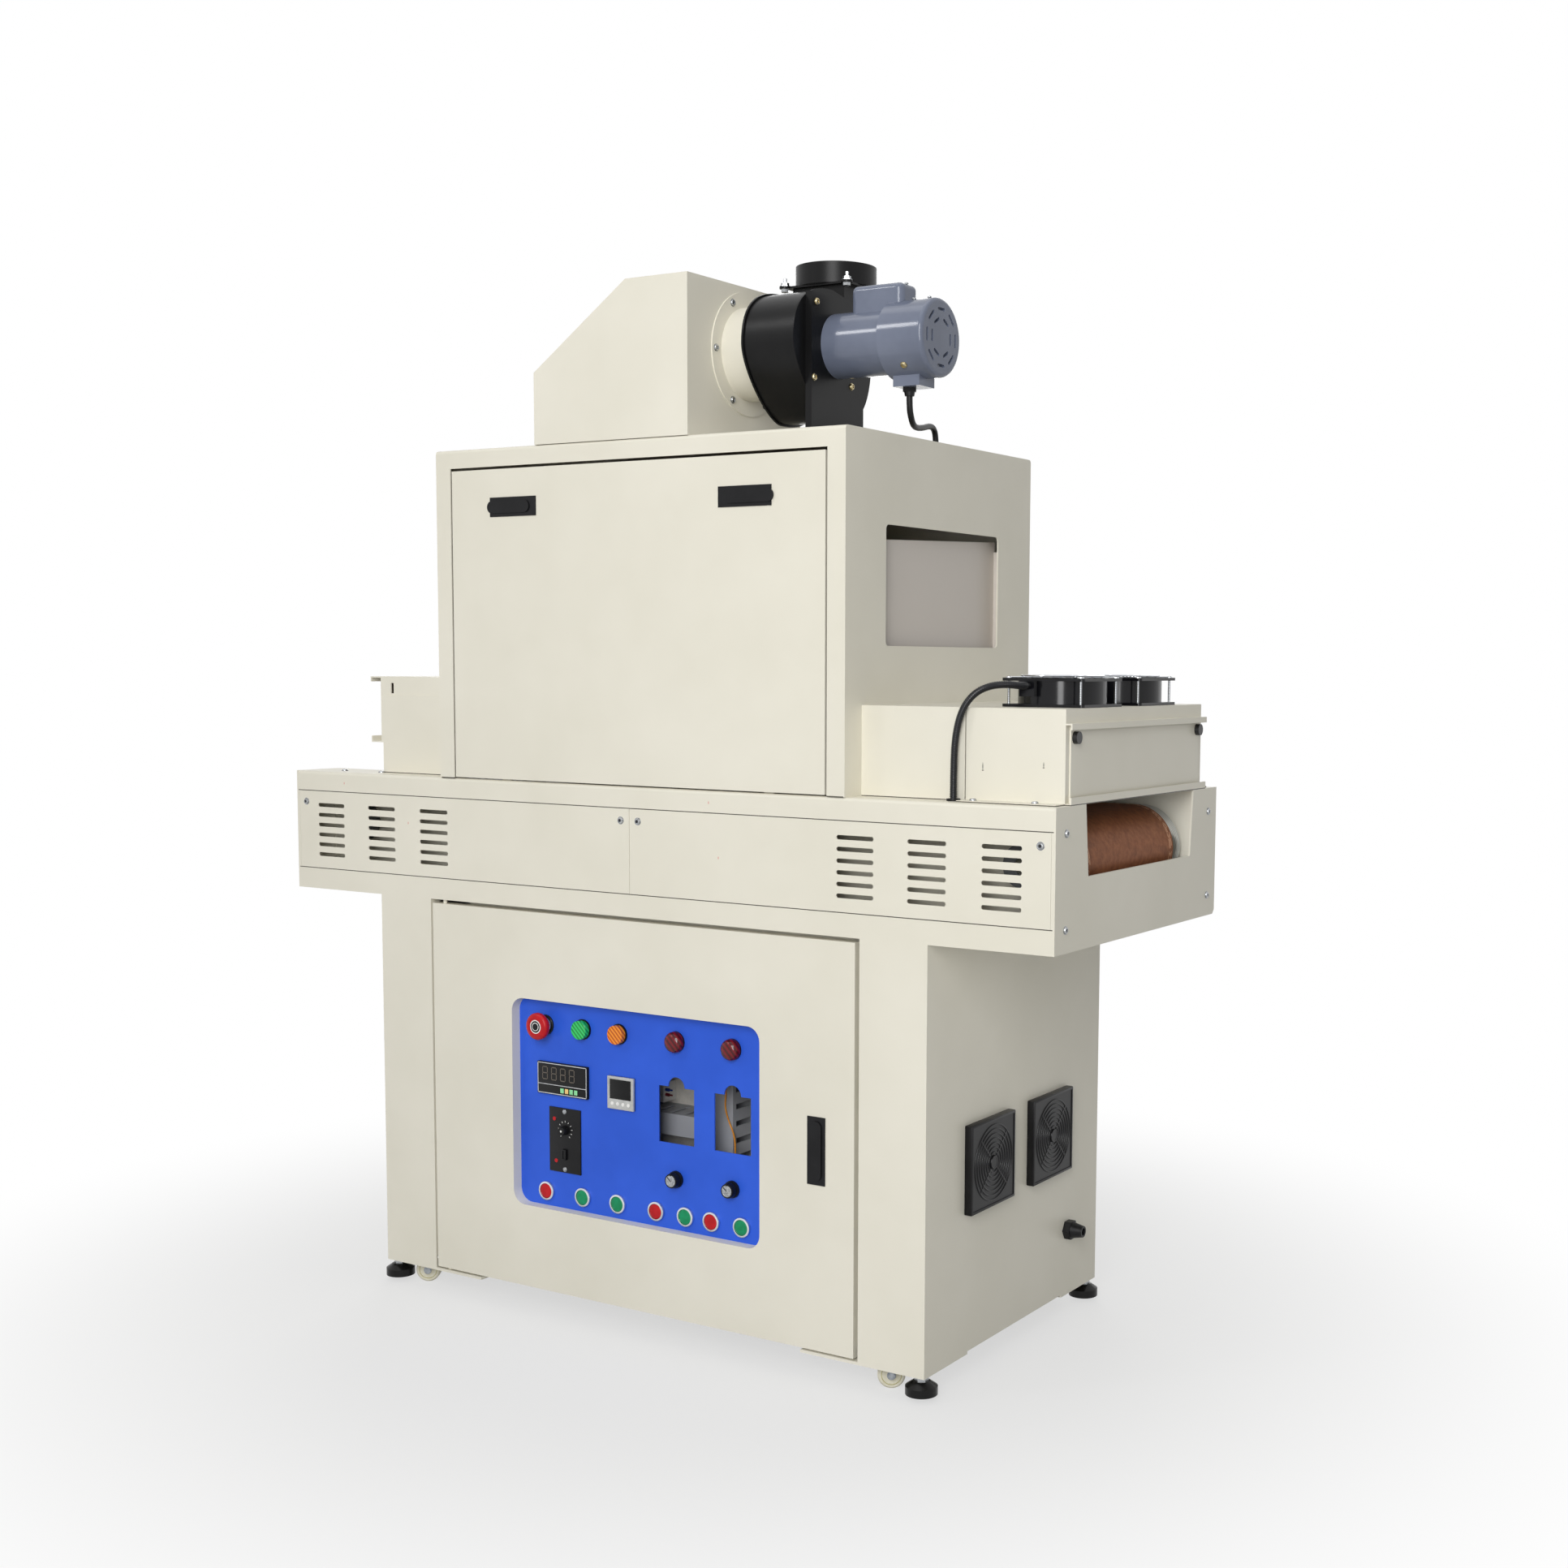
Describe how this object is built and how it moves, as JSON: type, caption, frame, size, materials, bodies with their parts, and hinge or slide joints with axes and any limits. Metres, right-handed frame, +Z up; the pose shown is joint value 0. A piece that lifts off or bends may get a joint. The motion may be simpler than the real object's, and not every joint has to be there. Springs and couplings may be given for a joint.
{
  "type": "uv conveyor dryer",
  "caption": "Belt conveyor dryer with a lamp hood over the belt, an exhaust blower on top and a base cabinet with a control panel behind its door's window.",
  "frame": {"origin": "centre of the footprint, on the floor", "axes": "+X along the belt to the outlet, -Y to the door side, +Z up"},
  "size_m": [1.352, 0.5299, 1.532],
  "materials": {
    "powder_coat": "satin",
    "grey_paint": "satin",
    "blue_paint": "satin",
    "black_enamel": "satin",
    "motor_enamel": "gloss",
    "belt_fabric": "matt",
    "black_plastic": "matt",
    "red_plastic": "gloss",
    "lamp_lens": "gloss",
    "black_rubber": "matt",
    "chrome_wire": "polished",
    "zinc_plate": "satin",
    "nylon": "satin"
  },
  "bodies": {
    "dryer": {"front_casing": "powder_coat", "rear_casing": "powder_coat", "frame_floor": "powder_coat", "end_plates": "powder_coat", "front_covers": "powder_coat", "side_rails": "powder_coat", "belt": "belt_fabric", "side_panels": "powder_coat", "filter_guards": "black_plastic", "cable_gland": "black_plastic", "cabinet_floor": "powder_coat", "corner_plates": "powder_coat", "levelling_feet": "black_rubber", "mounting_plate": "grey_paint", "hood_casing": "powder_coat", "hood_sides": "powder_coat", "hood_panel": "powder_coat", "hood_latches": "black_plastic", "tunnel_covers": "powder_coat", "inlet_shroud": "powder_coat", "cooling_cover": "powder_coat", "shutters": "powder_coat", "fan_housings": "black_plastic", "finger_guards": "chrome_wire", "exhaust_box": "powder_coat", "blower_scroll": "black_enamel", "blower_motor": "motor_enamel", "motor_gland": "black_plastic", "motor_lead": "black_rubber", "fan_conduit": "black_plastic", "cable_grommets": "black_rubber"},
    "door": {"cabinet_door": "powder_coat", "door_latch": "black_plastic", "control_panel": "blue_paint", "emergency_stop": "red_plastic", "pilot_lamps": "lamp_lens", "push_buttons": "chrome_wire", "panel_instruments": "black_plastic"},
    "left_dial": {"left_dial": "black_plastic"},
    "right_dial": {"right_dial": "black_plastic"},
    "drive_drum": {"drive_drum": "chrome_wire"},
    "idler_drum": {"idler_drum": "chrome_wire"},
    "caster_front_left": {"caster_fork_front_left": "zinc_plate"},
    "wheel_front_left": {"caster_wheel_front_left": "nylon"},
    "caster_front_right": {"caster_fork_front_right": "zinc_plate"},
    "wheel_front_right": {"caster_wheel_front_right": "nylon"},
    "caster_rear_left": {"caster_fork_rear_left": "zinc_plate"},
    "wheel_rear_left": {"caster_wheel_rear_left": "nylon"},
    "caster_rear_right": {"caster_fork_rear_right": "zinc_plate"},
    "wheel_rear_right": {"caster_wheel_rear_right": "nylon"}
  },
  "joints": [
    {"name": "door_hinge", "type": "hinge", "parent": "dryer", "child": "door", "pos_m": [-0.364, -0.251, 0.3235], "axis": [0, 0, -1], "range_deg": [0, 110]},
    {"name": "left_dial_turn", "type": "hinge", "parent": "door", "child": "left_dial", "pos_m": [0.069, -0.2405, 0.239], "axis": [0, 1, 0], "range_deg": [-150, 150]},
    {"name": "right_dial_turn", "type": "hinge", "parent": "door", "child": "right_dial", "pos_m": [0.168, -0.2405, 0.239], "axis": [0, 1, 0], "range_deg": [-150, 150]},
    {"name": "drive_drum_spin", "type": "hinge", "parent": "dryer", "child": "drive_drum", "pos_m": [0.6, 0, 0.717], "axis": [0, 1, 0], "continuous": true},
    {"name": "idler_drum_spin", "type": "hinge", "parent": "dryer", "child": "idler_drum", "pos_m": [-0.6, 0, 0.717], "axis": [0, 1, 0], "continuous": true},
    {"name": "swivel_front_left", "type": "hinge", "parent": "dryer", "child": "caster_front_left", "pos_m": [-0.429, -0.221, 0.0468], "axis": [0, 0, 1], "continuous": true},
    {"name": "roll_front_left", "type": "hinge", "parent": "caster_front_left", "child": "wheel_front_left", "pos_m": [-0.43586, -0.22512, 0.019], "axis": [0.515, -0.8572, 0], "continuous": true},
    {"name": "swivel_front_right", "type": "hinge", "parent": "dryer", "child": "caster_front_right", "pos_m": [0.429, -0.221, 0.0468], "axis": [0, 0, 1], "continuous": true},
    {"name": "roll_front_right", "type": "hinge", "parent": "caster_front_right", "child": "wheel_front_right", "pos_m": [0.42214, -0.22512, 0.019], "axis": [0.515, -0.8572, 0], "continuous": true},
    {"name": "swivel_rear_left", "type": "hinge", "parent": "dryer", "child": "caster_rear_left", "pos_m": [-0.429, 0.221, 0.0468], "axis": [0, 0, 1], "continuous": true},
    {"name": "roll_rear_left", "type": "hinge", "parent": "caster_rear_left", "child": "wheel_rear_left", "pos_m": [-0.43586, 0.21688, 0.019], "axis": [0.515, -0.8572, 0], "continuous": true},
    {"name": "swivel_rear_right", "type": "hinge", "parent": "dryer", "child": "caster_rear_right", "pos_m": [0.429, 0.221, 0.0468], "axis": [0, 0, 1], "continuous": true},
    {"name": "roll_rear_right", "type": "hinge", "parent": "caster_rear_right", "child": "wheel_rear_right", "pos_m": [0.42214, 0.21688, 0.019], "axis": [0.515, -0.8572, 0], "continuous": true}
  ]
}
